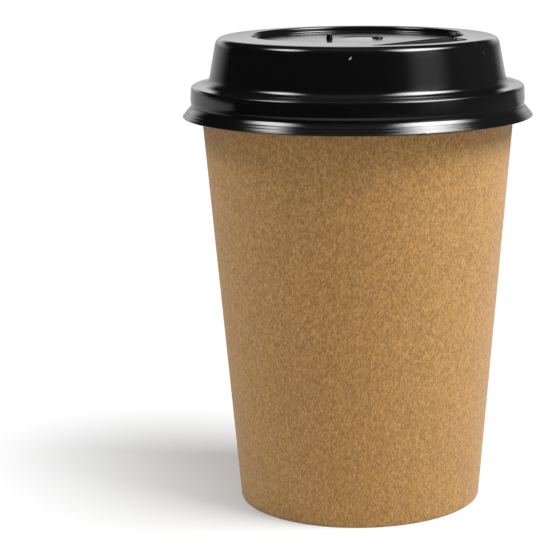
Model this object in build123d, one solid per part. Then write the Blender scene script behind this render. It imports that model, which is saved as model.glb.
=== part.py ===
from build123d import *
from math import atan, cos, sin, radians, degrees, sqrt, tan
import os

# Take-away coffee cup of 12 oz with a 90 mm class sip lid, standing upright.
# Millimetres. The axis of the cup is Z, its foot stands on z = 0, and the
# drinking side of the lid points to the front right.

# Paperboard sidewall
board = 0.40               # thickness of the coated board
board_gap = 0.05           # air between layers of board pressed together
cup_height = 115.0         # foot to the top of the rolled rim
foot_radius = 33.45        # outer face of the sidewall carried down to z = 0
rim_radius = 44.65         # outermost reach of the rolled rim
rim_roll_diameter = 2.05   # thickness of the roll, outside to outside
rim_roll_turn = 292.0      # degrees of the roll, from the sidewall round
hem_height = 6.2           # top of the inner leg of the folded foot
foot_press = 0.06          # how far the fold is pressed flat where it stands
seam_lap = 8.0             # width of the glued side seam, measured at the rim
seam_step = 0.30           # how far the outer end of the board stands proud
seam_azimuth = 90.0        # the seam is at the back
seam_margin = 1.0          # bare wall kept between the lap and the rim's roll

# Base of the cup
base_recess = 7.2          # foot to the underside of the base disc
base_bend = 0.9            # outside radius where the disc turns into its skirt

# Lid, formed from one plastic sheet
lid_sheet = 0.40           # sheet thickness
lid_rim_gap = 0.20         # lid to rim, all round and on top
neck_height = 4.7          # below the top of the rim, where the lid is narrowest
snap_bulge = 0.25          # how far the ring stands out above the neck
bulge_height = 2.6         # below the top of the rim, widest place of the ring
flare_drop = 3.0           # neck down to the lid's lower edge
flare_spread = 2.4         # neck out to the lid's lower edge
dome_height = 13.35        # ledge up to the highest ring of the top
ledge_width = 4.6          # outer face of the ring in to the dome
dome_draft = 10.5          # degrees from upright
land_fall = 3.15           # degrees that the land falls outwards
neck_round = 1.2
bulge_round = 3.0
ring_round = 0.9
foot_round = 3.0
shoulder_round = 2.3

# Sunken top of the lid
recess_radius = 28.8
recess_depth = 1.5         # below the recess's edge
recess_draft = 14.0        # degrees that the recess's side leans outwards
edge_round = 0.8           # edges of the recess and of the well, outside
corner_round = 0.5         # foot of the recess's and the well's sides, outside

# Drinking well and its hole
well_back = 15.4           # axis to the straight back of the well
well_back_azimuth = -38.5  # direction that the straight back faces
lobe_reach = 5.0           # recess's edge out to the curved front of the well
well_start = -86.0         # azimuths between which the well reaches into the land
well_end = -30.0
well_depth = 4.4           # below the recess's edge
well_corner = 2.0          # corners of the well seen from above
sip_radius = 28.7          # axis to the middle of the hole
sip_azimuth = -56.0
sip_length = 12.0
sip_width = 4.6

# Vent and pip on the floor of the recess
vent_place = (5.5, 3.6)
vent_boss_diameter = 2.9
vent_boss_height = 0.45
vent_bore = 1.0
pip_place = (-7.6, 3.2)
pip_diameter = 1.9
pip_top_diameter = 1.3
pip_height = 1.35
mark_round = 0.15          # edges of the boss and the pip

# Ribs and nick of the flared edge
rib_count = 3
rib_height = 0.05
rib_reach = 0.70           # share of the flare that is ribbed, from its lower edge
nick_azimuth = -69.7
nick_width = 1.0

# Worked out from the sizes above
roll_radius = rim_roll_diameter / 2
roll_centre_height = cup_height - roll_radius
roll_centre_radius = rim_radius - roll_radius
fold = (3 * board + 2 * board_gap) / 2
well_reach = recess_radius + lobe_reach


def wall_lean():
    """Angle of the sidewall from upright, so that its inner face meets the roll."""
    lean = 0.0
    for _ in range(20):
        face = roll_centre_radius - (roll_radius - board) * cos(lean)
        height = roll_centre_height + (roll_radius - board) * sin(lean)
        lean = atan((face - foot_radius) / height)
    return lean


lean = wall_lean()
lean_degrees = degrees(lean)


def wall_point(height, depth):
    """Point at a height on the line that lies a depth inside the outer face."""
    return (foot_radius + height * tan(lean) - depth / cos(lean), height)


def turned(centre, radius, angle):
    """Point of a circle in its own plane."""
    return (centre[0] + radius * cos(radians(angle)), centre[1] + radius * sin(radians(angle)))


def section(*edges):
    """Closed section in the XZ plane, ready to be turned about Z."""
    return Plane.XZ * make_face(Curve() + list(edges))


def cup_wall():
    """Sidewall with its rolled rim, its folded foot and its lapped side seam."""
    fold_centre = wall_point(fold - foot_press, fold)
    outwards = -lean_degrees
    foot_outer = turned(fold_centre, fold, outwards)
    foot_outer_in = turned(fold_centre, fold - board, outwards)
    foot_inner = turned(fold_centre, fold, outwards + 180)
    foot_inner_in = turned(fold_centre, fold - board, outwards + 180)
    leg_outer = wall_point(hem_height, 2 * board + 2 * board_gap)
    leg_inner = wall_point(hem_height, 3 * board + 2 * board_gap)

    roll = (roll_centre_radius, roll_centre_height)
    start = outwards + 180
    wall_top_outer = turned(roll, roll_radius - board, start)
    wall_top_inner = turned(roll, roll_radius, start)
    roll_end_outer = turned(roll, roll_radius, start - rim_roll_turn)
    roll_end_inner = turned(roll, roll_radius - board, start - rim_roll_turn)

    profile = section(
        Line(foot_outer, wall_top_outer),
        CenterArc(roll, roll_radius - board, start, -rim_roll_turn),
        Line(roll_end_inner, roll_end_outer),
        CenterArc(roll, roll_radius, start - rim_roll_turn, rim_roll_turn),
        Line(wall_top_inner, foot_outer_in),
        CenterArc(fold_centre, fold - board, outwards, -180),
        Line(foot_inner_in, leg_outer),
        Line(leg_outer, leg_inner),
        Line(leg_inner, foot_inner),
        CenterArc(fold_centre, fold, outwards - 180, 180),
    )
    wall = revolve(profile, Axis.Z)
    wall -= Pos(0, 0, -fold) * Cylinder(foot_radius + fold, 2 * fold)

    # The outer end of the board lies on the wall at the seam.
    top = roll_centre_height - roll_radius - seam_margin
    lap_low = wall_point(fold, board / 2)
    lap_low_out = wall_point(fold, -seam_step)
    lap_high = wall_point(top, board / 2)
    lap_high_out = wall_point(top, -seam_step)
    strip = section(
        Line(lap_low, lap_low_out),
        Line(lap_low_out, lap_high_out),
        Line(lap_high_out, lap_high),
        Line(lap_high, lap_low),
    )
    lap_angle = degrees(seam_lap / rim_radius)
    lap = revolve(strip, Axis.Z, revolution_arc=lap_angle)
    return wall + Rot(0, 0, seam_azimuth - lap_angle / 2) * lap


def cup_base():
    """Base disc with its edge turned down into a skirt."""
    outer = board + board_gap
    inner = outer + board
    top = base_recess + board
    points = [
        (0, base_recess),
        wall_point(base_recess, inner),
        wall_point(fold, inner),
        wall_point(fold, outer),
        wall_point(top, outer),
        (0, top),
    ]
    outline = make_face(Polyline(*points, close=True))
    bend_inside = outline.vertices().sort_by_distance(points[1])[0]
    outline = fillet(bend_inside, base_bend - board)
    bend_outside = outline.vertices().sort_by_distance(points[4])[0]
    outline = fillet(bend_outside, base_bend)
    return revolve(Plane.XZ * outline, Axis.Z)


# Heights and radii of the lid's outer face
ledge_top = cup_height + lid_rim_gap + lid_sheet
neck_radius = rim_radius + lid_rim_gap + lid_sheet
dome_foot_radius = neck_radius - ledge_width
neck_level = cup_height - neck_height
lid_edge_level = neck_level - flare_drop
lid_edge_radius = neck_radius + flare_spread
land_top = ledge_top + dome_height
recess_level = land_top - recess_depth
well_level = land_top - well_depth
oversize = 2 * lid_edge_radius   # more than any reach of the lid, for cutting shapes


def land_height(radius):
    """Height of the land at a radius, highest at the recess's edge."""
    return land_top - (radius - recess_radius) * tan(radians(land_fall))


def flare_ribs():
    """Crests and valleys of the fine ribs that stiffen the flared edge."""
    points = []
    lean_out = atan(flare_spread / flare_drop)
    turns = 2 * rib_count
    for turn in range(turns):
        share = rib_reach * (turn + 0.5) / turns
        proud = rib_height if turn % 2 == 0 else 0
        radius = lid_edge_radius - flare_spread * share + proud * cos(lean_out)
        level = lid_edge_level + flare_drop * share + proud * sin(lean_out)
        points.append((radius, level))
    return points


def dome_section(inset):
    """Section of the lid without its sunken top, its outer face moved inwards."""
    # The flare runs on below the lid's edge and is cut off later, and the
    # outline crosses the axis, so that moving it inwards alters neither place.
    overhang = flare_drop
    across = -2 * lid_sheet
    dome_slope = tan(radians(dome_draft))
    land_slope = tan(radians(land_fall))
    # The dome's side meets the land where both lines have one height.
    side = land_top + recess_radius * land_slope - ledge_top
    top_radius = (dome_foot_radius - side * dome_slope) / (1 - land_slope * dome_slope)
    neck = (neck_radius, neck_level)
    bulge = (neck_radius + snap_bulge, cup_height - bulge_height)
    ring = (neck_radius, ledge_top)
    foot = (dome_foot_radius, ledge_top)
    shoulder = (top_radius, land_height(top_radius))
    points = [
        (across, lid_edge_level - overhang),
        (lid_edge_radius + flare_spread, lid_edge_level - overhang),
        *flare_ribs(),
        neck,
        bulge,
        ring,
        foot,
        shoulder,
        (0, land_height(0)),
        (across, land_height(0)),
    ]
    outline = make_face(Polyline(*points, close=True))
    rounds = [
        (neck, neck_round),
        (bulge, bulge_round),
        (ring, ring_round),
        (foot, foot_round),
        (shoulder, shoulder_round),
    ]
    for place, size in rounds:
        corner = outline.vertices().sort_by_distance(place)[0]
        outline = fillet(corner, size)
    if inset:
        outline = offset(outline, -inset)
    half_plane = Pos(oversize / 2, land_top) * Rectangle(oversize, oversize)
    return Plane.XZ * (outline & half_plane)


def sunken_outline():
    """The recess and the well's lobe seen from above, at the height of the land."""
    ray_start = turned((0, 0), oversize, well_start)
    ray_end = turned((0, 0), oversize, well_end)
    lobe = Circle(well_reach) & make_face(Polyline((0, 0), ray_start, ray_end, close=True))
    outline = Circle(recess_radius) + lobe
    return fillet(outline.vertices(), well_corner)


def sunken_top(grow):
    """The space of the recess and of the drinking well, grown by the sheet."""
    draft = radians(recess_draft)
    well_floor = well_level - grow
    recess_floor_level = recess_level - grow
    inwards = (land_top - well_floor) * tan(draft) - grow / cos(draft)
    low_outline = Pos(0, 0, well_floor) * offset(sunken_outline(), -inwards)
    bowl = extrude(low_outline, 2 * well_depth + grow, taper=-recess_draft)

    # What stays standing below the floor of the recess, behind the well.
    back = well_back - grow / cos(draft)
    back_plane = Plane((back, 0, 0), z_dir=(cos(draft), 0, sin(draft)))
    downwards = (Align.CENTER, Align.CENTER, Align.MAX)
    block = split(Box(oversize, oversize, oversize, align=downwards), back_plane, keep=Keep.BOTTOM)
    bowl -= Pos(0, 0, recess_floor_level) * Rot(0, 0, well_back_azimuth) * block

    # Sides that run down to the floors are rounded at the foot, and the
    # well's back is rounded at its top.
    floor_middle = (-recess_radius / 2, 0, recess_floor_level)
    recess_floor = bowl.faces().sort_by_distance(floor_middle)[0]
    brink = recess_floor.edges().sort_by_distance(turned((0, 0), back, well_back_azimuth))[0]
    bowl = fillet(brink, edge_round - grow)
    recess_floor = bowl.faces().sort_by_distance(floor_middle)[0]
    deep_floor = bowl.faces().filter_by(Axis.Z).sort_by(Axis.Z)[0]
    feet = recess_floor.edges().filter_by(GeomType.LINE, reverse=True) + deep_floor.edges()
    return fillet(feet, corner_round + grow)


def rim_of_sunken_top(body):
    """Edges where the land breaks into the recess and the well."""
    land = body.faces().sort_by(Axis.Z)[-1]
    curved = land.edges().filter_by(GeomType.LINE, reverse=True)
    limit = well_reach + edge_round
    return curved.filter_by(lambda edge: Vector(edge.center().X, edge.center().Y).length < limit)


def floor_marks(inset):
    """Vent boss and pip, each drawn up out of the sheet."""
    upwards = (Align.CENTER, Align.CENTER, Align.MIN)
    root = recess_level - lid_sheet
    boss = Cylinder(
        vent_boss_diameter / 2 - inset,
        vent_boss_height + lid_sheet - inset,
        align=upwards,
    )
    pip = Cone(
        pip_diameter / 2 - inset,
        pip_top_diameter / 2 - inset,
        pip_height + lid_sheet - inset,
        align=upwards,
    )
    marks = [Pos(*vent_place, root) * boss, Pos(*pip_place, root) * pip]
    if inset:
        return marks
    return [fillet(mark.edges().group_by(Axis.Z)[-1], mark_round) for mark in marks]


def lid_block(inset):
    """The lid as a filled block, its outer face moved inwards."""
    block = revolve(dome_section(inset), Axis.Z) - sunken_top(inset)
    block = fillet(rim_of_sunken_top(block), edge_round - inset)
    for mark in floor_marks(inset):
        block += mark
    return block


def lid():
    """Sip lid: a formed sheet with its holes and the nick in its edge."""
    upwards = (Align.CENTER, Align.CENTER, Align.MIN)
    sheet = lid_block(0) - lid_block(lid_sheet)
    sheet &= Pos(0, 0, lid_edge_level) * Box(oversize, oversize, oversize, align=upwards)

    sip_span = degrees((sip_length - sip_width) / sip_radius)
    sip_line = CenterArc((0, 0), sip_radius, sip_azimuth - sip_span / 2, sip_span)
    sip_cut = extrude(SlotArc(sip_line, sip_width), 4 * lid_sheet)
    sheet -= Pos(0, 0, well_level - 2 * lid_sheet) * sip_cut
    sheet -= Pos(*vent_place, recess_level) * Cylinder(vent_bore / 2, 4 * lid_sheet)
    nick_side = nick_width / sqrt(2)
    nick = Rot(45, 0, 0) * Box(3 * lid_sheet, nick_side, nick_side)
    sheet -= Rot(0, 0, nick_azimuth) * Pos(lid_edge_radius, 0, lid_edge_level) * nick
    return sheet


os.makedirs("parts", exist_ok=True)
nodes = {"cup_wall": cup_wall(), "cup_base": cup_base(), "lid": lid()}
for name, solid in nodes.items():
    solid.label = name
    export_step(solid, f"parts/{name}.step")
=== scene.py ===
"""Paper coffee cup with a sip lid: finishes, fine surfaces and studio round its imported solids."""

import math

import bmesh
import bpy
import numpy as np
from bpy.props import FloatProperty, FloatVectorProperty, IntProperty, PointerProperty
from bpy.types import Operator, Panel, PropertyGroup
from mathutils import Matrix


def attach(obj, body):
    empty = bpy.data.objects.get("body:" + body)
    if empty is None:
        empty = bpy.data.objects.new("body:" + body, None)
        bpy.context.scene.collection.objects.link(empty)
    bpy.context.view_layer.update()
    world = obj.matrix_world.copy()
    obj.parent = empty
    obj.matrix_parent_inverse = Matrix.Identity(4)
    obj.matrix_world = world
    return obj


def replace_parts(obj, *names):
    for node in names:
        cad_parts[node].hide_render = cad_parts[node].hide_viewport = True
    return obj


bl_info = {
    "name": "Paper coffee cup",
    "version": (1, 0, 0),
    "blender": (4, 5, 0),
    "location": "3D View > Sidebar > Cup",
    "description": "Builds a kraft paper cup with a black sip lid, and the studio it stands in",
    "category": "Object",
}

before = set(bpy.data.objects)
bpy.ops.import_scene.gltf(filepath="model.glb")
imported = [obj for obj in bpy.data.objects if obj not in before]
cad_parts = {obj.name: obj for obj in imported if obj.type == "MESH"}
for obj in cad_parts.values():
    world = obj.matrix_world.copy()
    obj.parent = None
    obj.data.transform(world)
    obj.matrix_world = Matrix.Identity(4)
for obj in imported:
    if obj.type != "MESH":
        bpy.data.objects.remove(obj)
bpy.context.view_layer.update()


def length(name, description, millimetres):
    """A length that the user sees in scene units, given here in millimetres."""
    return FloatProperty(
        name=name, description=description, default=millimetres / 1000, unit="LENGTH", precision=5
    )


def angle(name, description, degrees):
    """An angle that the user sees in degrees."""
    return FloatProperty(
        name=name, description=description, default=math.radians(degrees), subtype="ANGLE"
    )


def share(name, description, default, top=1.0):
    """A plain number from nothing to its top."""
    return FloatProperty(name=name, description=description, default=default, min=0, max=top)


def spot(name, description, x, y):
    """A place or reach seen from above, given here in millimetres."""
    return FloatVectorProperty(
        name=name, description=description, default=(x / 1000, y / 1000), size=2, unit="LENGTH"
    )


def colour(name, description, default):
    """A linear colour."""
    return FloatVectorProperty(
        name=name, description=description, default=default, subtype="COLOR", min=0, max=1
    )


class CupSizes(PropertyGroup):
    """Sizes of the paper sidewall and base."""

    board: length("Board", "Thickness of the coated board", 0.40)
    board_gap: length("Board gap", "Air between layers pressed together", 0.05)
    height: length("Height", "Foot to the top of the rolled rim", 115.0)
    foot_radius: length("Foot radius", "Outer face of the sidewall at the foot", 33.45)
    rim_radius: length("Rim radius", "Outermost reach of the rolled rim", 44.65)
    roll: length("Roll", "Diameter of the rolled rim's section", 2.05)
    roll_turn: angle("Roll turn", "How far the rim is rolled round", 292.0)
    hem: length("Hem", "Top of the inner leg of the folded foot", 6.2)
    press: length("Foot press", "How far the fold is pressed flat", 0.06)
    seam_lap: length("Seam lap", "Width of the side seam at the rim", 8.0)
    seam_step: length("Seam step", "How far the outer end of the board stands proud", 0.30)
    seam_margin: length("Seam margin", "Bare wall between the lap and the roll", 1.0)
    recess: length("Base recess", "Foot to the underside of the base disc", 7.2)
    bend: length("Base bend", "Outside radius where the disc turns into its skirt", 0.9)


class LidSizes(PropertyGroup):
    """Sizes of the formed lid's outer face."""

    sheet: length("Sheet", "Thickness of the plastic", 0.40)
    rim_gap: length("Rim gap", "Lid to rim, all round and on top", 0.20)
    neck_height: length("Neck", "Below the rim's top, where the lid is narrowest", 4.7)
    bulge: length("Ring bulge", "How far the ring stands out above the neck", 0.25)
    bulge_height: length("Bulge height", "Below the rim's top, widest place of the ring", 3.3)
    flare_drop: length("Flare drop", "Neck down to the lower edge", 3.0)
    flare_spread: length("Flare spread", "Neck out to the lower edge", 2.4)
    dome_height: length("Dome", "Ledge up to the highest ring of the top", 13.35)
    dome_foot: length("Dome foot", "Outer radius of the dome at the ledge", 40.65)
    dome_draft: angle("Dome draft", "Dome's side from upright", 10.5)
    land_fall: angle("Land fall", "How much the land falls outwards", 3.15)
    recess_radius: length("Recess", "Radius of the sunken top", 28.8)
    recess_depth: length("Recess depth", "Below the recess's edge", 1.5)
    recess_draft: angle("Side draft", "Lean of the sunken sides", 14.0)
    crown: length("Floor crown", "How far the floor swells up round its marks", 0.28)
    crown_place: spot("Crown place", "Middle of the floor's swell", 1.4, 4.0)
    crown_reach: spot("Crown reach", "Half widths of the floor's swell", 7.2, 8.5)
    edge_round: length("Edge round", "Round of the sunken edges", 0.8)
    corner_round: length("Corner round", "Round at the foot of the sunken sides", 0.5)
    well_back: length("Well back", "Axis to the straight back of the well", 15.4)
    well_azimuth: angle("Well azimuth", "Direction that the straight back faces", -38.5)
    well_reach: length("Well reach", "Axis to the curved front of the well", 33.8)
    well_start: angle("Well start", "First azimuth of the well's lobe", -86.0)
    well_end: angle("Well end", "Last azimuth of the well's lobe", -30.0)
    well_depth: length("Well depth", "Below the recess's edge", 4.4)
    well_corner: length("Well corner", "Corners of the lobe seen from above", 2.0)
    sip_radius: length("Sip radius", "Axis to the middle of the hole", 28.7)
    sip_azimuth: angle("Sip azimuth", "Direction of the hole", -56.0)
    sip_length: length("Sip length", "Length of the hole", 12.0)
    sip_width: length("Sip width", "Width of the hole", 4.6)
    vent_place: spot("Vent place", "Middle of the vent's boss", 5.5, 3.6)
    vent_foot: length("Vent foot", "Radius at which the floor's rings end", 2.2)
    vent_boss: length("Vent boss", "Radius of the vent's boss", 1.45)
    vent_height: length("Vent height", "Height of the vent's boss", 0.45)
    vent_bore: length("Vent bore", "Radius of the vent's bore", 0.5)
    vent_round: length("Vent round", "Round at the foot of the boss", 0.12)
    pip_place: spot("Pip place", "Middle of the pip", -7.6, 3.2)
    pip_root: length("Pip root", "How far under the floor the pip begins", 0.2)
    pip_foot: length("Pip foot", "Radius of the pip at its root", 0.98)
    pip_top: length("Pip top", "Radius of the pip at its top", 0.65)
    pip_height: length("Pip height", "Height of the pip", 1.35)
    mark_round: length("Mark round", "Upper edges of the boss and the pip", 0.15)
    rib_height: length("Rib height", "Height of the fine ribs on the flare", 0.05)
    rib_reach: share("Rib reach", "Share of the flare that is ribbed", 0.70)
    ribs: IntProperty(name="Ribs", description="Fine ribs on the flare", default=3, min=1, max=6)
    nick_azimuth: angle("Nick azimuth", "Direction of the nick in the lower edge", -69.7)
    nick_width: length("Nick width", "Width of the nick", 1.0)


class PaperFinish(PropertyGroup):
    """Kraft board."""

    base: colour("Kraft", "Middle brown of the board", (0.402, 0.213, 0.0565))
    pale: colour("Pale fibre", "Light fibres", (0.66, 0.43, 0.20))
    dark: colour("Dark fibre", "Dark fibres and flecks", (0.165, 0.073, 0.020))
    mottle: share("Mottle", "Strength of the cloudy patches", 0.30)
    fibres: share("Fibres", "Strength of the fibres", 0.72)
    roughness: share("Roughness", "How matt the board is", 0.82)


class PlasticFinish(PropertyGroup):
    """Black formed sheet."""

    base: colour("Black", "Body colour of the plastic", (0.0032, 0.0032, 0.0034))
    dust: colour("Dust", "Colour of the specks", (0.62, 0.60, 0.57))
    roughness: share("Roughness", "Satin of the formed face", 0.12)
    wave: share("Waviness", "Height of the sheet's slow waves", 0.05)


class StudioLook(PropertyGroup):
    """Lamps, floor and backdrop."""

    right_power: share("Right softbox", "Radiance of the large softbox", 20.8, 30.0)
    left_power: share("Left softbox", "Radiance of the small softbox", 26.0, 30.0)
    fill: share("Fill", "Even light from all round", 0.36, 10.0)
    backdrop: share("Backdrop", "White behind the cup, seen in the gloss", 1.0)
    strip: share("Strip", "Upright strip at the right, seen in the gloss", 0.85)
    shade: share("Shade", "Depth of the shadow on the floor", 1.0)


MM = 0.001
TAU = 2 * math.pi
WALL_RADIUS = 39.0   # millimetres, middle of the sidewall, for coordinates round it
MERGE = 1.5e-6   # metres within which the grids' points become one
TOP_RADIANCE = 40.0   # brightest part of the surroundings that the gloss can show


def mm(value):
    """A property's length or place in millimetres."""
    return np.array(value) * 1000.0


def polar(radius, azimuth):
    """Points at a radius and an azimuth in radians: radius times cosine and sine."""
    radius, azimuth = np.broadcast_arrays(np.asarray(radius, float), np.asarray(azimuth, float))
    return np.stack([radius * np.cos(azimuth), radius * np.sin(azimuth)], -1)


def rounded_path(corners, rounds, steps):
    """Straight runs with rounded corners.

    At a corner where the path turns by an angle a, an arc of radius r begins r times the
    tangent of a/2 before the corner and ends as far after it; its points are the centre plus
    r times the unit vectors that swing from one tangent point to the other.
    """
    corners = np.asarray(corners, float)
    parts = [corners[:1]]
    steps = np.broadcast_to(steps, len(rounds))
    for before, corner, after, radius, count in zip(corners, corners[1:], corners[2:], rounds, steps):
        into = (corner - before) / np.linalg.norm(corner - before)
        out = (after - corner) / np.linalg.norm(after - corner)
        turn = math.atan2(into[0] * out[1] - into[1] * out[0], into @ out)
        if radius == 0 or abs(turn) < 1e-6:
            parts.append(corner[None])
            continue
        side = math.copysign(1.0, turn)
        start = corner - into * radius * math.tan(abs(turn) / 2)
        centre = start + side * radius * np.array([-into[1], into[0]])
        first = math.atan2(start[1] - centre[1], start[0] - centre[0])
        parts.append(centre + polar(radius, first + turn * np.linspace(0, 1, count + 1)))
    parts.append(corners[-1:])
    return np.concatenate(parts)


def refined(path, longest):
    """A path whose long runs are divided evenly, so that no run is over the longest allowed."""
    runs = np.linalg.norm(np.diff(path, axis=0), axis=1)
    counts = np.maximum(1, np.ceil(runs / longest)).astype(int)
    whole = np.repeat(np.arange(len(counts)), counts)
    step = np.arange(counts.sum()) - np.repeat(np.cumsum(counts) - counts, counts)
    along = (step / counts[whole])[:, None]
    points = path[whole] * (1 - along) + path[whole + 1] * along
    return np.concatenate([points, path[-1:]])


def turned_grid(path, azimuths):
    """A turned surface: row i and column j is the path's radius and height at azimuth j."""
    flat = polar(path[:, :1], azimuths[None, :])
    height = np.broadcast_to(path[:, 1:2, None], flat.shape[:2] + (1,))
    return np.concatenate([flat, height], -1)


def grid_faces(rows, columns, wrap_rows, wrap_columns, first):
    """Quads of a grid whose columns run anticlockwise and whose rows run from its foot up."""
    row = np.arange(rows if wrap_rows else rows - 1)[:, None]
    column = np.arange(columns if wrap_columns else columns - 1)[None, :]
    above = (row + 1) % rows
    beside = (column + 1) % columns
    corners = (
        row * columns + column,
        row * columns + beside,
        above * columns + beside,
        above * columns + column,
    )
    return first + np.stack([c.ravel() for c in corners], -1)


def link(name, data):
    """A new object in the scene."""
    made = bpy.data.objects.new(name, data)
    bpy.context.scene.collection.objects.link(made)
    return made


def make_piece(name, grids, body, material):
    """One mesh from grids of points in millimetres, each with its wraps, merged where they meet."""
    points, faces, count = [], [], 0
    for grid, wrap_rows, wrap_columns in grids:
        rows, columns = grid.shape[:2]
        faces.append(grid_faces(rows, columns, wrap_rows, wrap_columns, count))
        points.append(grid.reshape(-1, 3))
        count += rows * columns
    mesh = bpy.data.meshes.new(name)
    mesh.from_pydata((np.concatenate(points) * MM).tolist(), [], np.concatenate(faces).tolist())
    piece = link(name, mesh)
    joined = bmesh.new()
    joined.from_mesh(mesh)
    bmesh.ops.remove_doubles(joined, verts=joined.verts, dist=MERGE)
    joined.to_mesh(mesh)
    joined.free()
    mesh.polygons.foreach_set("use_smooth", np.ones(len(mesh.polygons), bool))
    mesh.materials.append(material)
    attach(piece, body)
    return piece


def wall_lean(cup):
    """Angle of the sidewall from upright, found by repeating until its inner face meets the roll."""
    roll = mm(cup.roll) / 2
    inner = roll - mm(cup.board)
    lean = 0.0
    for _ in range(20):
        face = mm(cup.rim_radius) - roll - inner * math.cos(lean)
        lean = math.atan((face - mm(cup.foot_radius)) / (mm(cup.height) - roll + inner * math.sin(lean)))
    return lean


def wall_line(cup, lean, heights, depth):
    """Radius and height on the line that lies a depth inside the sidewall's outer face."""
    heights = np.atleast_1d(np.asarray(heights, float))
    radii = mm(cup.foot_radius) + heights * math.tan(lean) - depth / math.cos(lean)
    return np.stack([radii, heights], -1)


def wall_section(cup):
    """Closed section of the sidewall, and which of its points lie on the outer face.

    It goes up the outer face, round the inside of the rolled rim and back round its outside,
    down the inner face, round the inside of the fold, up the hem and down it, and round the
    outside of the fold. Each round part is an arc about the roll's or the fold's centre.
    """
    lean = wall_lean(cup)
    board, gap = mm(cup.board), mm(cup.board_gap)
    fold = (3 * board + 2 * gap) / 2
    centre = wall_line(cup, lean, fold - mm(cup.press), fold)[0]
    roll = mm(cup.roll) / 2
    hub = np.array([mm(cup.rim_radius) - roll, mm(cup.height) - roll])
    start = math.pi - lean
    turn = np.linspace(0, cup.roll_turn, 40)
    up = np.linspace(0, 1, 36)[:, None]
    foot = centre + polar(fold, -lean)
    top = hub + polar(roll - board, start)
    outer = foot * (1 - up) + top * up
    top_in = hub + polar(roll, start)
    foot_in = centre + polar(fold - board, -lean)
    down = np.linspace(0, 1, 24)[:, None]
    hem_out = wall_line(cup, lean, mm(cup.hem), 2 * board + 2 * gap)
    hem_in = wall_line(cup, lean, mm(cup.hem), 3 * board + 2 * gap)
    parts = [
        outer,
        hub + polar(roll - board, start - turn)[1:],
        hub + polar(roll, start - turn)[::-1],
        (top_in * (1 - down) + foot_in * down)[1:],
        centre + polar(fold - board, -lean - np.linspace(0, math.pi, 9))[1:],
        hem_out,
        hem_in,
        centre + polar(fold, -lean - math.pi + np.linspace(0, math.pi, 17))[:-1],
    ]
    path = np.concatenate(parts)
    path[:, 1] = np.maximum(path[:, 1], 0)
    on_face = np.arange(len(path)) < len(outer)
    return path, on_face


def build_wall(cup, material):
    """Sidewall: its section turned about the axis, with the lapped board proud at the seam.

    On the outer face the radius grows by the seam's step between the lap's two edges, and
    between the fold and the bare strip under the roll.
    """
    path, on_face = wall_section(cup)
    seam = math.pi / 2
    half = mm(cup.seam_lap) / mm(cup.rim_radius) / 2
    lap_edge = 0.0006   # radians from the lap's edge to the wall
    lap_end = 0.02   # millimetres from its upper end
    edges = np.array([seam - half - lap_edge, seam - half, seam + half, seam + half + lap_edge])
    azimuths = np.unique(np.concatenate([np.linspace(0, TAU, 421)[:-1], edges]))
    top = mm(cup.height) - mm(cup.roll) - mm(cup.seam_margin)
    levels = np.array([top, top + lap_end])
    extra = np.stack([np.interp(levels, path[on_face, 1], path[on_face, 0]), levels], -1)
    face = np.concatenate([path[on_face], extra])
    face = face[np.argsort(face[:, 1])]
    path = np.concatenate([face, path[~on_face]])
    on_face = np.arange(len(path)) < len(face)
    points = turned_grid(path, azimuths)
    lapped = (azimuths >= seam - half - 1e-9) & (azimuths <= seam + half + 1e-9)
    above_fold = path[:, 1] > 1.5 * mm(cup.board)
    proud = on_face & above_fold & (path[:, 1] <= top + 1e-9)
    reach = np.linalg.norm(points[..., :2], axis=-1)
    grown = 1 + mm(cup.seam_step) * (proud[:, None] & lapped[None, :]) / reach
    points[..., :2] *= grown[..., None]
    piece = make_piece("kraft_wall", [(points, True, True)], "cup", material)
    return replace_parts(piece, "cup_wall")


def build_base(cup, material):
    """Base disc: a flat round with its edge bent down into a skirt, turned about the axis."""
    lean = wall_lean(cup)
    board = mm(cup.board)
    outer = board + mm(cup.board_gap)
    inner = outer + board
    fold = (3 * board + 2 * mm(cup.board_gap)) / 2
    low, high = mm(cup.recess), mm(cup.recess) + board
    corners = np.concatenate([
        [[0, low]],
        wall_line(cup, lean, low, inner),
        wall_line(cup, lean, fold, inner),
        wall_line(cup, lean, fold, outer),
        wall_line(cup, lean, high, outer),
        [[0, high]],
    ])
    path = rounded_path(corners, [mm(cup.bend) - board, 0, 0, mm(cup.bend)], 8)
    path = refined(path, 3.0)   # millimetres
    points = turned_grid(path, np.linspace(0, TAU, 241)[:-1])
    piece = make_piece("base_disc", [(points, False, True)], "cup", material)
    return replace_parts(piece, "cup_base")


def drop_beside(distance, depth, slope, edge, foot):
    """How far a sunken face lies under its surroundings at a distance inside its outline.

    Level before the edge's arc, then the arc of radius edge, a straight side whose drop is
    the distance times the slope's tangent, the arc of radius foot, and level at the depth.
    """
    tight = np.minimum(1.0, depth / ((edge + foot) * (1 - math.cos(slope)) + 1e-6))
    edge, foot = edge * tight, foot * tight
    before, after = edge * math.tan(slope / 2), foot * math.tan(slope / 2)
    side_end = depth / math.tan(slope)
    in_edge = edge - np.sqrt(np.maximum(edge**2 - (distance + before) ** 2, 0))
    in_foot = depth - foot + np.sqrt(np.maximum(foot**2 - (side_end + after - distance) ** 2, 0))
    return np.select(
        [
            distance <= -before,
            distance <= -before + edge * math.sin(slope),
            distance <= side_end + after - foot * math.sin(slope),
            distance <= side_end + after,
        ],
        [0.0, in_edge, distance * math.tan(slope), in_foot],
        depth,
    )


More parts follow.
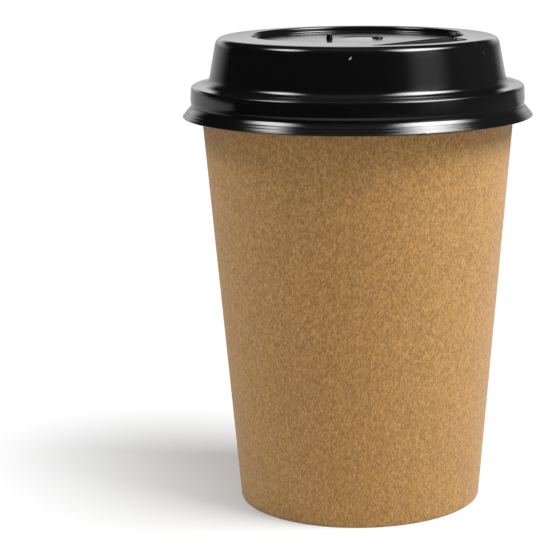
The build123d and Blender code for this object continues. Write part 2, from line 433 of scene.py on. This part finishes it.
class SunkenTop:
    """The lid's top as heights over the plane, with its outline as a path with normals."""

    def __init__(self, cup, lid):
        self.lid = lid
        self.top = mm(cup.height) + mm(lid.rim_gap) + mm(lid.sheet) + mm(lid.dome_height)
        self.slope = math.pi / 2 - lid.recess_draft
        self.forward = polar(1.0, lid.well_azimuth)
        self.outline()

    def outline(self):
        """Closed outline as arcs and lines: the recess's circle and the lobe's sides and front.

        An arc is its centre, radius, first and last angle, side and count of points, and its
        normals point from its centre on side 1. A line is its ends, its normal's angle, side 0
        and its count of points.
        """
        lid = self.lid
        inner, outer, corner = mm(lid.recess_radius), mm(lid.well_reach), mm(lid.well_corner)
        valley = math.asin(corner / (inner + corner))
        crest = math.asin(corner / (outer - corner))
        start, end = lid.well_start + TAU, lid.well_end + TAU
        run_low = math.sqrt((inner + corner) ** 2 - corner**2)
        run_high = math.sqrt((outer - corner) ** 2 - corner**2)
        origin = np.zeros(2)
        quarter = math.pi / 2
        low, high = start - valley, end + valley
        arcs = [
            (origin, inner, 0.0, low, 1, 2600),
            (polar(inner + corner, low), corner, low - math.pi, start - 3 * quarter, -1, 160),
            (polar([run_low, run_high], start), None, start - quarter, None, 0, 12),
            (polar(outer - corner, start + crest), corner, start - quarter, start + crest, 1, 160),
            (origin, outer, start + crest, end - crest, 1, 700),
            (polar(outer - corner, end - crest), corner, end - crest, end + quarter, 1, 160),
            (polar([run_high, run_low], end), None, end + quarter, None, 0, 12),
            (polar(inner + corner, high), corner, end - quarter, high - math.pi, -1, 160),
            (origin, inner, high, TAU, 1, 400),
        ]
        points, normals = [], []
        for centre, radius, first, last, side, steps in arcs:
            along = np.linspace(0, 1, steps)
            if side == 0:
                points.append(centre[:1] * (1 - along[:, None]) + centre[1:] * along[:, None])
                normals.append(np.broadcast_to(polar(1.0, first), (steps, 2)))
            else:
                swing = polar(1.0, first + (last - first) * along)
                points.append(centre + radius * swing)
                normals.append(side * swing)
        points, normals = np.concatenate(points), np.concatenate(normals)
        steps = np.linalg.norm(np.diff(points, axis=0), axis=1)
        fresh = np.concatenate([[True], steps > 1e-7])
        self.points, self.normals = points[fresh], normals[fresh]
        steps = np.linalg.norm(np.diff(self.points, axis=0), axis=1)
        self.place = np.concatenate([[0], np.cumsum(steps)])

    def ring(self, places, distance):
        """Outline points at places along it, moved inwards along the outline's normals."""
        places = np.mod(places, self.place[-1])
        point = np.stack([np.interp(places, self.place, self.points[:, i]) for i in (0, 1)], -1)
        normal = np.stack([np.interp(places, self.place, self.normals[:, i]) for i in (0, 1)], -1)
        normal /= np.linalg.norm(normal, axis=-1, keepdims=True)
        return point - np.asarray(distance)[..., None] * normal

    def past_back(self, flat):
        """Distance of points beyond the well's straight back, negative over the recess's floor."""
        return flat @ self.forward - mm(self.lid.well_back)

    def land(self, flat):
        """Height of the land, which falls outwards from the recess's edge as a shallow cone."""
        radius = np.linalg.norm(flat, axis=-1)
        return self.top - (radius - mm(self.lid.recess_radius)) * math.tan(self.lid.land_fall)

    def recess_floor(self, flat):
        """Height of the recess's floor: level, with a low swell of (1 - d squared) squared.

        d is the distance from the swell's middle in units of its two half widths.
        """
        lid = self.lid
        away = np.sum(((flat - mm(lid.crown_place)) / mm(lid.crown_reach)) ** 2, -1)
        swell = mm(lid.crown) * np.maximum(1 - away, 0) ** 2
        return self.top - mm(lid.recess_depth) + swell

    def floor(self, flat):
        """Height of the floor: the recess's plane, dropping to the well beyond the straight back."""
        lid = self.lid
        level = self.recess_floor(flat)
        step = level - (self.top - mm(lid.well_depth))
        return level - drop_beside(
            self.past_back(flat), step, self.slope, mm(lid.edge_round), mm(lid.corner_round)
        )

    def height(self, flat, distance):
        """Height at points a known distance inside the outline: the land less the side's drop."""
        lid = self.lid
        land = self.land(flat)
        return land - drop_beside(
            distance, land - self.floor(flat), self.slope, mm(lid.edge_round), mm(lid.corner_round)
        )


def lifted(flat, heights):
    """Points of the plane given their heights."""
    return np.concatenate([flat, heights[..., None]], -1)


def between(outer, inner, shares):
    """Rings between two matched rings: each is outer times (1 - share) plus inner times share."""
    shares = np.asarray(shares, float)[:, None, None]
    return outer[None] * (1 - shares) + inner[None] * shares


def lid_section(cup, lid):
    """Outer face of the lid from its lower edge up to the land, as rounded straight runs."""
    rim_top = mm(cup.height)
    ledge = rim_top + mm(lid.rim_gap) + mm(lid.sheet)
    neck = mm(cup.rim_radius) + mm(lid.rim_gap) + mm(lid.sheet)
    neck_level = rim_top - mm(lid.neck_height)
    drop, spread = mm(lid.flare_drop), mm(lid.flare_spread)
    lean_out = math.atan2(spread, drop)
    turns = 2 * lid.ribs
    step = np.arange(turns)
    along = lid.rib_reach * (step + 0.5) / turns
    proud = np.where(step % 2 == 0, mm(lid.rib_height), 0.0)
    edge_radius, edge_level = neck + spread, neck_level - drop
    ribs = np.stack([
        edge_radius - spread * along + proud * math.cos(lean_out),
        edge_level + drop * along + proud * math.sin(lean_out),
    ], -1)
    land = math.tan(lid.land_fall)
    dome = math.tan(lid.dome_draft)
    top = ledge + mm(lid.dome_height)
    foot = mm(lid.dome_foot)
    recess = mm(lid.recess_radius)
    shoulder = (foot - (top + recess * land - ledge) * dome) / (1 - land * dome)
    radii = [edge_radius, *ribs[:, 0], neck, neck + mm(lid.bulge), neck, foot, shoulder, recess]
    levels = [
        edge_level,
        *ribs[:, 1],
        neck_level,
        rim_top - mm(lid.bulge_height),
        ledge,
        ledge,
        top - (shoulder - recess) * land,
        top,
    ]
    corners = np.stack([radii, levels], -1)
    # Millimetres and steps of the rounds: ribs, neck, bulge, ring, dome's foot and shoulder.
    rounds = [0.22] * turns + [1.2, 3.0, 0.9, 3.0, 2.3]
    path = rounded_path(corners, rounds, [4] * turns + [6, 6, 8, 8, 8])
    return refined(path[:-1], 1.8)


def outline_places(top, rows, inner):
    """Places along the outline for the grid's columns, in four stretches.

    They go from the well's end of the second crossing of the straight back, through that
    crossing's rows, round the recess, through the first crossing's rows and round the lobe.
    """
    total = top.place[-1]
    dense = np.linspace(0, total, 6001)[:-1]
    past = top.past_back(top.ring(dense, np.full(len(dense), inner)))
    # The back's line crosses the outline within these shares of it.
    near, far = dense < 0.14 * total, (dense > 0.55 * total) & (dense < 0.80 * total)
    falling = np.interp(-rows[::-1], -past[near], dense[near])
    rising_part = np.flatnonzero(far)
    low = rising_part[np.argmax(past[rising_part] > rows[0] - 0.5)]
    stretch = slice(low, low + 400)
    rising = np.interp(rows, past[stretch], dense[stretch])
    recess = np.linspace(falling[-1], rising[0], 211)[1:-1]
    lobe_dense = np.linspace(rising[-1], falling[0] + total, 4001)
    turned_by = np.mod(lobe_dense, total)
    flat = top.ring(turned_by, np.zeros(len(lobe_dense)))
    direction = np.unwrap(np.arctan2(*np.gradient(flat, axis=0).T[::-1]))
    # Columns crowd where the lobe bends.
    bending = np.abs(np.gradient(direction, lobe_dense))
    bending = np.convolve(np.pad(bending, 40, mode="edge"), np.ones(81) / 81, mode="valid")
    weight = np.cumsum(1 + 6.0 * np.minimum(bending, 0.4))
    lobe = np.interp(np.linspace(weight[0], weight[-1], 131), weight, lobe_dense)[1:-1]
    return falling, recess, rising, lobe


def build_lid(cup, lid, material):
    """Lid: turned flank, then rings that follow the sunken outline, and the floors inside it.

    Every ring has one point per column. Rings of the flank lie on circles, rings of the
    sunken edge are the outline moved inwards, and those between them are straight blends.
    The straight back is a strip of rows at fixed distances past it, and each floor is a
    blend from its closed border to the border of its hole, matched by direction.
    """
    top = SunkenTop(cup, lid)
    inner = 1.75   # millimetres inside the outline, where the floors' grids begin
    before = [-0.70, -0.56, -0.42, -0.28, -0.14, 0.0, 0.12, 0.30, 0.42]
    after = [0.54, 0.66, 0.78, 0.90, 1.02, 1.15, 1.32, 1.5]
    rows = np.array(before + after)   # millimetres past the straight back
    falling, recess, rising, lobe = outline_places(top, rows, inner)
    places = np.concatenate([falling, recess, rising, lobe])
    n_rows, n_recess = len(rows), len(recess)

    # Edge of the sunken top: the drop's samples crowd into its two arcs.
    border = top.ring(places, np.full(len(places), inner))
    depth = top.land(border) - top.floor(border)
    foot = depth / math.tan(top.slope)
    fixed = np.array([-0.66, -0.56, -0.44, -0.32, -0.18, -0.04, 0.10, 0.2])
    moving = np.array([-0.14, -0.04, 0.06, 0.16, 0.26, 0.36, 0.46])
    distances = np.concatenate([
        np.repeat(fixed[:, None], len(places), 1),
        foot[None, :] + moving[:, None],
        np.full((1, len(places)), inner),
    ])
    sides = np.stack([top.ring(places, d) for d in distances])
    side_grid = lifted(sides, top.height(sides, distances))

    # Flank, turned at the azimuths of the sunken edge's outermost ring.
    azimuths = np.unwrap(np.arctan2(sides[0, :, 1], sides[0, :, 0]))
    path = lid_section(cup, lid)
    flank = turned_grid(path, azimuths)
    rim = flank[-1, :, :2]
    land = between(rim, sides[0], [0.0, 0.25, 0.5, 0.75, 1.0])
    land_grid = lifted(land, top.land(land))
    edge = flank[0]
    nick = np.abs(np.mod(azimuths - lid.nick_azimuth + math.pi, TAU) - math.pi) * path[0, 0]
    edge[:, 2] += np.maximum(mm(lid.nick_width) / 2 - nick, 0)

    # Strip over the straight back.
    first = border[:n_rows][::-1]
    second = border[n_rows + n_recess : 2 * n_rows + n_recess]
    across = np.linspace(0, 1, 97)
    strip = first[:, None] * (1 - across[None, :, None]) + second[:, None] * across[None, :, None]
    strip_grid = lifted(strip, top.floor(strip))

    # Recess floor, from its border in to the vent's hole.
    vent = mm(lid.vent_place)
    boss_foot, boss_side, bore = mm(lid.vent_foot), mm(lid.vent_boss), mm(lid.vent_bore)
    raised = mm(lid.vent_height)
    loop = np.concatenate([border[n_rows - 1 : n_rows + n_recess + 1], strip[0, ::-1][1:-1]])
    toward = np.arctan2(*(loop - vent).T[::-1])
    flat_rings = between(loop, vent + polar(boss_foot, toward), np.linspace(0, 1, 17))
    boss_path = rounded_path(
        [[boss_foot, 0], [boss_side, 0], [boss_side, raised], [bore, raised]],
        [mm(lid.vent_round), mm(lid.mark_round)],
        5,
    )[1:]
    boss = vent + polar(boss_path[:, :1], toward[None, :])
    recess_grid = np.concatenate([
        lifted(flat_rings, top.floor(flat_rings)),
        lifted(boss, top.recess_floor(boss) + boss_path[:, 1:2]),
    ])

    # Well floor, from its border in to the drinking hole.
    loop = np.concatenate([border[2 * n_rows + n_recess - 1 :], border[:1], strip[-1][1:-1]])
    hub = polar(mm(lid.sip_radius), lid.sip_azimuth)
    hole = sip_outline(lid)
    hole_way = np.arctan2(*(hole - hub).T[::-1])
    order = np.argsort(hole_way)
    way = np.arctan2(*(loop - hub).T[::-1])
    around = np.stack([
        np.interp(way, hole_way[order], hole[order, i], period=TAU) for i in (0, 1)
    ], -1)
    well = between(loop, around, [0, 0.1, 0.25, 0.45, 0.65, 0.82, 0.93, 1.0])
    well_grid = lifted(well, top.floor(well))

    grids = [
        (np.concatenate([flank, land_grid[1:], side_grid[1:]]), False, True),
        (strip_grid, False, False),
        (recess_grid, False, True),
        (well_grid, False, True),
    ]
    piece = make_piece("sip_lid", grids, "lid", material)
    wall = piece.modifiers.new("Sheet", "SOLIDIFY")
    wall.thickness = lid.sheet
    wall.offset = -1
    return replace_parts(piece, "lid")


def sip_outline(lid):
    """Outline of the drinking hole: two arcs about the lid's axis joined by two half rounds."""
    half = mm(lid.sip_width) / 2
    radius = mm(lid.sip_radius)
    swing = (mm(lid.sip_length) - 2 * half) / radius / 2
    middle = lid.sip_azimuth
    along = np.linspace(-swing, swing, 120)
    turn = np.linspace(0, math.pi, 80)
    return np.concatenate([
        polar(radius + half, middle + along),
        polar(radius, middle + swing) + polar(half, middle + swing + turn[1:-1]),
        polar(radius - half, middle - along),
        polar(radius, middle - swing) + polar(half, middle - swing + math.pi + turn[1:-1]),
    ])


def build_marks(cup, lid, material):
    """Pip on the recess's floor: a cone with a rounded top, turned about its own axis."""
    top = SunkenTop(cup, lid)
    place, height = mm(lid.pip_place), mm(lid.pip_height)
    corners = [[mm(lid.pip_foot), -mm(lid.pip_root)], [mm(lid.pip_top), height], [0, height]]
    path = rounded_path(corners, [mm(lid.mark_round)], 6)
    pip = turned_grid(path, np.linspace(0, TAU, 41)[:-1])
    pip[..., :2] += place
    pip[..., 2] += top.recess_floor(place)
    return make_piece("floor_pip", [(pip, False, True)], "lid", material)


def arithmetic(operation, swapped=False):
    """A method of Value that adds one Math node."""
    def method(self, other):
        first, second = (other, self) if swapped else (self, other)
        return self.maker.math(operation, first, second)

    return method


class Value:
    """A shader socket. Arithmetic on it adds Math nodes to its tree."""

    def __init__(self, maker, socket):
        self.maker = maker
        self.socket = socket

    __add__ = arithmetic("ADD")
    __radd__ = arithmetic("ADD", True)
    __sub__ = arithmetic("SUBTRACT")
    __rsub__ = arithmetic("SUBTRACT", True)
    __mul__ = arithmetic("MULTIPLY")
    __rmul__ = arithmetic("MULTIPLY", True)
    __truediv__ = arithmetic("DIVIDE")
    __pow__ = arithmetic("POWER")


class Maker:
    """Adds nodes to one shader tree."""

    def __init__(self, tree):
        self.tree = tree
        tree.nodes.clear()

    def node(self, kind, sockets=None, **settings):
        """A node of a type, with its settings set first and then its sockets' values or links."""
        made = self.tree.nodes.new("ShaderNode" + kind)
        for name, value in settings.items():
            setattr(made, name, value)
        for name, value in (sockets or {}).items():
            if isinstance(value, Value):
                self.tree.links.new(value.socket, made.inputs[name])
            else:
                made.inputs[name].default_value = value
        return made

    def get(self, node, output=0):
        """One output of a node as a value."""
        return Value(self, node.outputs[output])

    def math(self, operation, first, second=0.0, clamp=False):
        """A Math node."""
        sockets = {0: first, 1: second}
        return self.get(self.node("Math", sockets, operation=operation, use_clamp=clamp))

    def smooth(self, value, low, high):
        """A smooth step from 0 at low to 1 at high."""
        sockets = {0: value, 1: low, 2: high}
        return self.get(self.node("MapRange", sockets, interpolation_type="SMOOTHSTEP"))

    def vector(self, operation, first, second, output=0):
        """A Vector Math node."""
        return self.get(self.node("VectorMath", {0: first, 1: second}, operation=operation), output)

    def distance(self, vector):
        """The length of a vector."""
        return self.vector("LENGTH", vector, (0.0, 0.0, 0.0), 1)

    def most(self, first, *others):
        """The largest of some numbers."""
        for other in others:
            first = self.math("MAXIMUM", first, other)
        return first

    def blend(self, factor, first, second):
        """A colour between two colours."""
        return self.get(self.node("Mix", {0: factor, 6: first, 7: second}, data_type="RGBA"), 2)

    def mix(self, factor, first, second):
        """A shader between two shaders."""
        return self.node("MixShader", {0: factor, 1: self.get(first), 2: self.get(second)})

    def join(self, x, y, z):
        """A vector from three numbers."""
        return self.get(self.node("CombineXYZ", {0: x, 1: y, 2: z}))

    def coordinates(self, output):
        """One set of coordinates, as a vector and as three numbers."""
        place = self.get(self.node("TexCoord"), output)
        split = self.node("SeparateXYZ", {0: place})
        return place, *(self.get(split, i) for i in range(3))

    def rays(self):
        """Whether a ray comes from the camera, and whether it is mirrored or passes through."""
        path = self.node("LightPath")
        mirror = self.most(self.get(path, "Is Glossy Ray"), self.get(path, "Is Transmission Ray"))
        return self.get(path, "Is Camera Ray"), mirror

    def noise(self, place, scale, detail=2.0, roughness=0.5, distortion=0.0):
        """A noise from 0 to 1."""
        sockets = {"Vector": place, "Scale": scale, "Detail": detail}
        sockets.update({"Roughness": roughness, "Distortion": distortion})
        return self.get(self.node("TexNoise", sockets))


def new_material(name):
    """An empty node material and its maker."""
    material = bpy.data.materials.new(name)
    material.use_nodes = True
    return material, Maker(material.node_tree)


def opaque(colour_values):
    """A colour property as four numbers."""
    return (*colour_values, 1.0)


def fibre_layer(maker, around, height, degrees, long, thin, seed, low, high):
    """Short fibres near one direction: noise on turned coordinates, stretched in millimetres."""
    a = math.radians(degrees)
    run = (around * math.cos(a) + height * math.sin(a)) / long
    side = (height * math.cos(a) - around * math.sin(a)) / thin
    field = maker.noise(maker.join(run, side, seed), 1.0, 1.0, 0.5, 0.9)
    return maker.smooth(field, low, high)


def kraft_material(name, finish, wrapped):
    """Brown board: cloudy patches, faint upright streaks, light and dark fibres and flecks."""
    material, maker = new_material(name)
    _, x, y, z = maker.coordinates(3)
    if wrapped:
        around = maker.math("ARCTAN2", x, 0.0 - y) * WALL_RADIUS
        height = z / MM
    else:
        around, height = x / MM, y / MM
    sheet = maker.join(around, height, 0.0)
    cloud = maker.noise(sheet, 0.055, 4.0, 0.6, 0.3)
    patch = maker.noise(sheet, 0.55, 3.0, 0.55, 0.4)
    grain = maker.noise(sheet, 3.2, 3.0, 0.7, 0.2)
    streak = maker.noise(maker.join(around * 0.9, height * 0.03, 4.0), 1.0, 2.0, 0.5)
    tone = (cloud - 0.5) * 0.9 + (patch - 0.5) * 2.0 + (streak - 0.5) * 0.35 + (grain - 0.5) * 3.0
    tone = tone * finish.mottle
    pale = [
        fibre_layer(maker, around, height, turn, 1.3, 0.34, seed, 0.60, 0.72)
        for turn, seed in ((64, 1.7), (-37, 5.2), (98, 9.1))
    ]
    dark = [
        fibre_layer(maker, around, height, turn, 1.2, 0.36, seed, 0.53, 0.66)
        for turn, seed in ((-66, 13.3), (82, 17.9), (50, 21.4))
    ]
    fleck = maker.smooth(maker.noise(sheet, 1.9, 1.0, 0.5), 0.70, 0.78)
    light, dim = maker.most(*pale), maker.most(*dark)
    spread = 0.38   # how far the darkest and the lightest board lie from the middle brown
    darkest = opaque([c * (1 - spread) for c in finish.base])
    lightest = opaque([min(1, c * (1 + spread)) for c in finish.base])
    body = maker.blend(maker.math("ADD", 0.5 + tone, 0.0, True), darkest, lightest)
    body = maker.blend(light * finish.fibres * 0.55, body, opaque(finish.pale))
    body = maker.blend(dim * finish.fibres * 0.9, body, opaque(finish.dark))
    body = maker.blend(fleck * finish.fibres, body, opaque(finish.dark))
    relief = light * 0.5 - dim * 0.4 + (grain - 0.5) * 1.2 + (patch - 0.5) * 0.8
    bump = maker.node("Bump", {"Strength": 0.35, "Distance": 0.00012, "Height": relief})
    rough = finish.roughness + (grain - 0.5) * 0.15
    shader = maker.node("BsdfPrincipled", {
        "Base Color": body,
        "Roughness": rough,
        "Normal": maker.get(bump),
        "Specular IOR Level": 0.40,
        "Sheen Weight": 0.11,
        "Sheen Roughness": 0.60,
    })
    maker.node("OutputMaterial", {0: maker.get(shader)})
    return material


def plastic_material(name, cup, lid, finish):
    """Black formed sheet: satin gloss, slow waves, a few specks of dust and a rougher well."""
    material, maker = new_material(name)
    place, x, y, z = maker.coordinates(3)
    wave = maker.noise(place, 55.0, 2.0, 0.5)
    fine = maker.noise(place, 900.0, 2.0, 0.5)
    cells = maker.node("TexVoronoi", {"Vector": place, "Scale": 420.0})
    chance = maker.node("SeparateColor", {0: maker.get(cells, 1)})
    size = maker.get(chance, 1) * 0.035 + 0.015
    speck = maker.math("LESS_THAN", maker.get(cells, 0), size)
    speck = speck * maker.math("GREATER_THAN", maker.get(chance, 0), 0.90)
    # A bit of lint on the dome's front, an ellipse placed in metres.
    lint = maker.vector("SUBTRACT", place, (-0.0018, -0.0387, 0.1258))
    along = maker.vector("DOT_PRODUCT", lint, (0.62, 0.14, 0.77), 1)
    across = maker.vector("DOT_PRODUCT", lint, (-0.78, 0.11, 0.61), 1)
    lint = maker.math("LESS_THAN", (along / 0.00050) ** 2.0 + (across / 0.00014) ** 2.0, 1.0)
    speck = maker.most(speck * 0.6, lint * maker.math("LESS_THAN", y, 0.0) * 0.8)
    body = maker.blend(speck * 0.75, opaque(finish.base), opaque(finish.dust))
    back = x * math.cos(lid.well_azimuth) + y * math.sin(lid.well_azimuth) - lid.well_back
    past_back = maker.smooth(back, -0.0004, 0.0004)
    reach = maker.distance(maker.join(x, y, 0.0)) - lid.well_reach
    inside = 1.0 - maker.smooth(reach, 0.0002, 0.0007)
    top = cup.height + lid.rim_gap + lid.sheet + lid.dome_height
    well = past_back * inside * (1.0 - maker.smooth(z - top, -0.00085, -0.00025))
    rough = finish.roughness + (wave - 0.5) * 0.06 + (fine - 0.5) * 0.05 + speck * 0.5 + well * 0.55
    relief = wave * finish.wave * 6.0 + fine * finish.wave * 0.4
    bump = maker.node("Bump", {"Strength": 0.5, "Distance": 0.0002, "Height": relief})
    shader = maker.node("BsdfPrincipled", {
        "Base Color": body,
        "Roughness": rough,
        "Normal": maker.get(bump),
        "IOR": 1.5,
    })
    maker.node("OutputMaterial", {0: maker.get(shader)})
    return material


def build_floor(look):
    """Floor: one large flat square, white to the camera but for the cup's shadow."""
    size = 6.0   # metres from the middle to a side
    corners = np.array([[-size, -size, 0], [size, -size, 0], [size, size, 0], [-size, size, 0]])
    mesh = bpy.data.meshes.new("floor")
    mesh.from_pydata(corners.tolist(), [], [(0, 1, 2, 3)])
    link("floor", mesh)
    material, maker = new_material("floor_white")
    place, right, ahead, _ = maker.coordinates(3)
    # Metres over which the shadow fades to the left, to the right and behind.
    leftwards = maker.smooth(0.0 - right - ahead * 0.36, 0.012, 0.128)
    rightwards = maker.smooth(right, -0.01, 0.03)
    behind = maker.smooth(ahead, 0.035, 0.125)
    shaded = (1.0 - leftwards) * (1.0 - rightwards) * (1.0 - behind) * look.shade
    # In the gloss the table is white near the cup and greyer beyond.
    beyond = maker.smooth(ahead - maker.most(right, 0.0), 0.0, 0.3)
    close = 1.0 - maker.smooth(maker.distance(place), 0.24, 0.36)
    table = maker.most(close, beyond * 0.6 + maker.smooth(right, 0.05, 0.3) * 0.11)
    seen, mirror = maker.rays()
    lit = maker.node("BsdfDiffuse", {"Color": (0.55, 0.55, 0.55, 1.0)})
    white = maker.node("Emission", {"Strength": 1.05})
    black = maker.node("Emission", {"Strength": 0.0})
    bright = maker.mix(seen * (1.0 - shaded) + mirror, lit, white)
    mixed = maker.mix(mirror * (1.0 - table * look.backdrop), bright, black)
    maker.node("OutputMaterial", {0: maker.get(mixed)})
    mesh.materials.append(material)


def patch(maker, azimuth, up, centre, inner, outer, low, high):
    """A soft-edged patch of the surroundings: full near an azimuth and between two heights.

    Angles are in degrees from the viewer to the right. Low and high each give the two sines
    of elevation between which the patch fades in and out.
    """
    away = maker.math("ABSOLUTE", azimuth - math.radians(centre))
    across = 1.0 - maker.smooth(away, math.radians(inner), math.radians(outer))
    return across * maker.smooth(up, *low) * (1.0 - maker.smooth(up, *high))


def build_world(look):
    """White to the camera; in the gloss, softboxes over a backdrop, and even light elsewhere."""
    world = bpy.data.worlds.new("studio")
    bpy.context.scene.world = world
    world.use_nodes = True
    maker = Maker(world.node_tree)
    _, side, ahead, up = maker.coordinates(0)
    azimuth = maker.math("ARCTAN2", side, 0.0 - ahead)
    behind = maker.smooth(ahead - side * 0.114, 0.61, 0.95)
    backdrop = behind * (0.6 + maker.smooth(up, 0.02, 0.19) * 0.6) * (1.0 - maker.smooth(up, 0.22, 0.38))
    right = patch(maker, azimuth, up, 76, 10, 42, (0.64, 0.78), (0.87, 0.985))
    left = patch(maker, azimuth, up, -84, 4, 26, (0.64, 0.76), (0.83, 0.92))
    strip = patch(maker, azimuth, up, 58, 5, 22, (-0.20, 0.05), (0.70, 0.80))
    strip = strip * (0.3 + maker.smooth(up, 0.05, 0.40) * 0.9)
    haze = 0.007 + maker.smooth(side, 0.3, 0.9) * 0.07 + maker.smooth(up, 0.85, 0.97) * 0.18
    boxes = right * (look.right_power * 1.14) + left * (look.left_power * 0.6) + strip * look.strip
    gloss = boxes + backdrop * look.backdrop + haze
    seen, mirror = maker.rays()
    glow = (mirror * gloss + (1.0 - mirror) * (1.0 - seen) * look.fill + seen) / TOP_RADIANCE
    dark = maker.node("Background", {"Strength": 0.0})
    light = maker.node("Background", {"Color": (1.0, 1.0, 1.0, 1.0), "Strength": TOP_RADIANCE})
    mixed = maker.mix(glow, dark, light)
    maker.node("OutputWorld", {0: maker.get(mixed)})


def put(name, data, right, up, back, place):
    """A new object at a place, with its own axes along three unit vectors."""
    made = link(name, data)
    turn = np.eye(4)
    turn[:3, 0], turn[:3, 1], turn[:3, 2], turn[:3, 3] = right, up, back, place
    made.matrix_world = Matrix(turn.tolist())
    return made


def add_softbox(name, azimuth, elevation, distance, width, height, radiance):
    """A rectangular lamp that faces the cup, placed by the direction it lies in from the cup.

    Azimuth 0 is towards the viewer and 90 to the right, in degrees, and lengths are metres.
    A lamp's power is its radiance times its area times pi.
    """
    lamp = bpy.data.lights.new(name, "AREA")
    lamp.shape = "RECTANGLE"
    lamp.size = width
    lamp.size_y = height
    lamp.energy = radiance * width * height * math.pi
    a, e = math.radians(azimuth), math.radians(elevation)
    back = np.array([math.sin(a) * math.cos(e), -math.cos(a) * math.cos(e), math.sin(e)])
    right = np.cross([0, 0, 1], back)
    right /= np.linalg.norm(right)
    aim = np.array([0, 0, 0.10])   # a place high in the cup
    made = put(name, lamp, right, np.cross(back, right), back, back * distance + aim)
    made.visible_camera = False
    made.visible_glossy = False


def build_camera():
    """Camera at the photograph's place, with its long lens."""
    photo_width, focal, aside = 560, 1970.0, 78.0   # pixels
    data = bpy.data.cameras.new("camera")
    data.sensor_width = 36.0
    data.lens = data.sensor_width * focal / photo_width
    data.shift_x = -aside / photo_width
    data.clip_start, data.clip_end = 0.01, 50
    pitch, yaw, roll = 0.2021, -0.0004, -0.0062   # radians
    flat = np.array([math.sin(yaw), math.cos(yaw), 0])
    level = np.array([math.cos(yaw), -math.sin(yaw), 0])
    ahead = flat * math.cos(pitch) - np.array([0, 0, math.sin(pitch)])
    upright = np.cross(level, ahead)
    right = math.cos(roll) * level + math.sin(roll) * upright
    up = -math.sin(roll) * level + math.cos(roll) * upright
    place = (0, -0.5364, 0.1708)   # metres
    bpy.context.scene.camera = put("camera", data, right, up, -ahead, place)


class CUP_OT_wall(Operator):
    """Build the paper sidewall with its rolled rim, folded foot and side seam"""

    bl_idname = "cup.wall"
    bl_label = "Sidewall"

    def execute(self, context):
        scene = context.scene
        build_wall(scene.cup_sizes, kraft_material("kraft_board", scene.cup_paper, True))
        return {"FINISHED"}


class CUP_OT_base(Operator):
    """Build the base disc with its skirt"""

    bl_idname = "cup.base"
    bl_label = "Base"

    def execute(self, context):
        scene = context.scene
        build_base(scene.cup_sizes, kraft_material("base_board", scene.cup_paper, False))
        return {"FINISHED"}


class CUP_OT_lid(Operator):
    """Build the black sip lid and the marks on its floor"""

    bl_idname = "cup.lid"
    bl_label = "Lid"

    def execute(self, context):
        scene = context.scene
        cup, lid = scene.cup_sizes, scene.cup_lid
        material = plastic_material("lid_plastic", cup, lid, scene.cup_plastic)
        build_lid(cup, lid, material)
        build_marks(cup, lid, material)
        return {"FINISHED"}


class CUP_OT_stage(Operator):
    """Set up the floor, the lamps, the backdrop and the camera"""

    bl_idname = "cup.stage"
    bl_label = "Studio"

    def execute(self, context):
        look = context.scene.cup_studio
        build_floor(look)
        build_world(look)
        add_softbox("softbox_right", 69, 52, 1.2, 0.75, 0.55, look.right_power)
        add_softbox("softbox_left", -88, 53, 1.2, 0.36, 0.32, look.left_power)
        build_camera()
        context.scene.view_settings.view_transform = "Standard"
        return {"FINISHED"}


class CUP_PT_panel(Panel):
    """Lists the cup's pieces and their settings"""

    bl_label = "Paper coffee cup"
    bl_idname = "CUP_PT_panel"
    bl_space_type = "VIEW_3D"
    bl_region_type = "UI"
    bl_category = "Cup"

    def draw(self, context):
        for operator in OPERATORS:
            self.layout.operator(operator.bl_idname)
        for name in SETTINGS:
            box = self.layout.box()
            group = getattr(context.scene, name)
            for key in group.bl_rna.properties.keys()[1:]:
                box.prop(group, key)


SETTINGS = {
    "cup_sizes": CupSizes,
    "cup_lid": LidSizes,
    "cup_paper": PaperFinish,
    "cup_plastic": PlasticFinish,
    "cup_studio": StudioLook,
}
OPERATORS = (CUP_OT_wall, CUP_OT_base, CUP_OT_lid, CUP_OT_stage)


def register():
    """Registers the settings, the operators and the panel."""
    for name, group in SETTINGS.items():
        bpy.utils.register_class(group)
        setattr(bpy.types.Scene, name, PointerProperty(type=group))
    for made in (*OPERATORS, CUP_PT_panel):
        bpy.utils.register_class(made)


def unregister():
    """Takes away what register adds."""
    for made in (CUP_PT_panel, *reversed(OPERATORS)):
        bpy.utils.unregister_class(made)
    for name, group in SETTINGS.items():
        delattr(bpy.types.Scene, name)
        bpy.utils.unregister_class(group)


def main():
    """Builds every piece and the studio."""
    register()
    bpy.ops.cup.wall()
    bpy.ops.cup.base()
    bpy.ops.cup.lid()
    bpy.ops.cup.stage()


if __name__ == "__main__":
    main()
